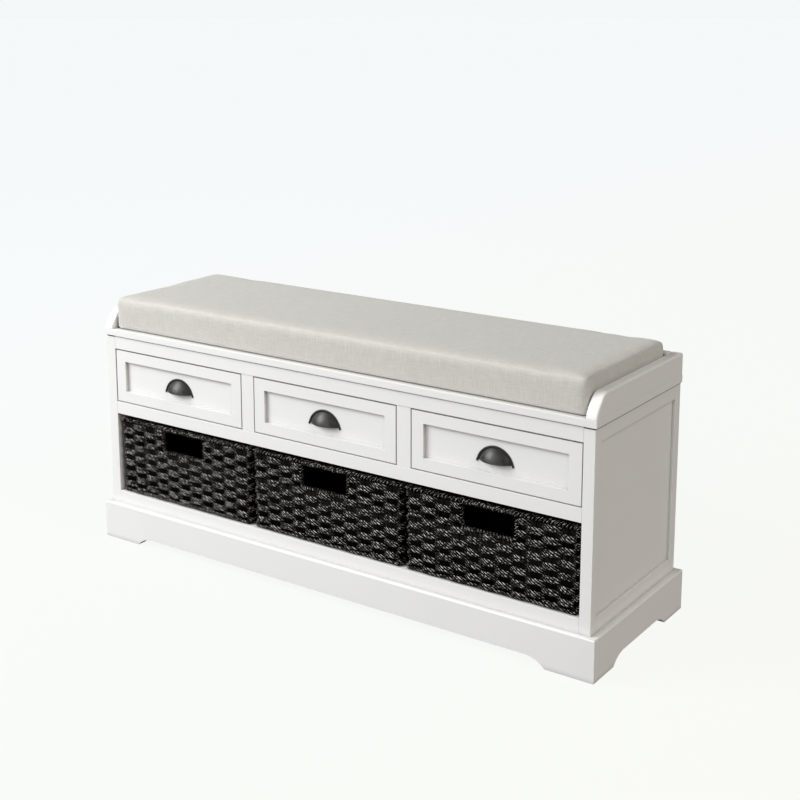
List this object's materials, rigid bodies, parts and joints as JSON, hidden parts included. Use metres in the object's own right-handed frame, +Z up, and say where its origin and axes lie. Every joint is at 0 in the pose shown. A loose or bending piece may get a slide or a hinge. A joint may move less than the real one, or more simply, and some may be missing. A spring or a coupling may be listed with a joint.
{
  "type": "entryway bench",
  "caption": "Painted storage bench with inset drawers over a bay of woven baskets, a low gallery round the seat and a loose box cushion.",
  "frame": {"origin": "middle of the footprint on the floor", "axes": "+Z up, +X along the bench to the right seen from the front, the drawers open towards -Y"},
  "size_m": [1.06, 0.331, 0.4778],
  "materials": {
    "white_paint": "satin white paint over fibreboard and poplar",
    "white_board": "white melamine face",
    "raw_wood": "sawn pine",
    "plywood": "sanded birch plywood",
    "zinc_steel": "zinc plated",
    "gunmetal": "dark gunmetal, semi-gloss",
    "wicker": "twisted paper cord, woven, near black",
    "linen": "greige linen weave"
  },
  "bodies": {
    "cabinet": {"left_front_post": "white_paint", "left_back_post": "white_paint", "left_side_top_rail": "white_paint", "left_side_bottom_rail": "white_paint", "left_side_panel": "white_paint", "right_front_post": "white_paint", "right_back_post": "white_paint", "right_side_top_rail": "white_paint", "right_side_bottom_rail": "white_paint", "right_side_panel": "white_paint", "top_front_rail": "white_paint", "middle_front_rail": "white_paint", "bottom_front_rail": "white_paint", "left_mullion": "white_paint", "right_mullion": "white_paint", "left_partition": "white_board", "right_partition": "white_board", "drawer_shelf": "white_board", "bottom_board": "white_board", "back_panel": "white_paint", "top_back_rail": "white_board", "back_panel_screws": "zinc_steel", "plinth_front": "white_paint", "plinth_back": "white_paint", "plinth_left": "white_paint", "plinth_right": "white_paint", "plinth_corner_blocks": "raw_wood", "seat_board": "white_paint", "left_gallery": "white_paint", "right_gallery": "white_paint", "back_gallery": "white_paint", "cabinet_runners": "zinc_steel"},
    "left_drawer": {"left_drawer_front": "white_paint", "left_drawer_left_side": "white_board", "left_drawer_right_side": "white_board", "left_drawer_back": "white_board", "left_drawer_bottom": "plywood", "left_drawer_runners": "zinc_steel", "left_cup_pull": "gunmetal", "left_pull_screws": "zinc_steel"},
    "middle_drawer": {"middle_drawer_front": "white_paint", "middle_drawer_left_side": "white_board", "middle_drawer_right_side": "white_board", "middle_drawer_back": "white_board", "middle_drawer_bottom": "plywood", "middle_drawer_runners": "zinc_steel", "middle_cup_pull": "gunmetal", "middle_pull_screws": "zinc_steel"},
    "right_drawer": {"right_drawer_front": "white_paint", "right_drawer_left_side": "white_board", "right_drawer_right_side": "white_board", "right_drawer_back": "white_board", "right_drawer_bottom": "plywood", "right_drawer_runners": "zinc_steel", "right_cup_pull": "gunmetal", "right_pull_screws": "zinc_steel"},
    "left_basket_unit": {"left_basket": "wicker"},
    "middle_basket_unit": {"middle_basket": "wicker"},
    "right_basket_unit": {"right_basket": "wicker"},
    "cushion_unit": {"seat_cushion": "linen"}
  },
  "joints": [
    {"name": "left_drawer_slide", "type": "slide", "parent": "cabinet", "child": "left_drawer", "axis": [0, -1, 0], "range_m": [0, 0.18]},
    {"name": "middle_drawer_slide", "type": "slide", "parent": "cabinet", "child": "middle_drawer", "axis": [0, -1, 0], "range_m": [0, 0.18]},
    {"name": "right_drawer_slide", "type": "slide", "parent": "cabinet", "child": "right_drawer", "axis": [0, -1, 0], "range_m": [0, 0.18]},
    {"name": "left_basket_slide", "type": "slide", "parent": "cabinet", "child": "left_basket_unit", "axis": [0, -1, 0], "range_m": [0, 0.34]},
    {"name": "middle_basket_slide", "type": "slide", "parent": "cabinet", "child": "middle_basket_unit", "axis": [0, -1, 0], "range_m": [0, 0.34]},
    {"name": "right_basket_slide", "type": "slide", "parent": "cabinet", "child": "right_basket_unit", "axis": [0, -1, 0], "range_m": [0, 0.34]},
    {"name": "cushion_lift", "type": "slide", "parent": "cabinet", "child": "cushion_unit", "axis": [0, 0, 1], "range_m": [0, 0.12]}
  ]
}
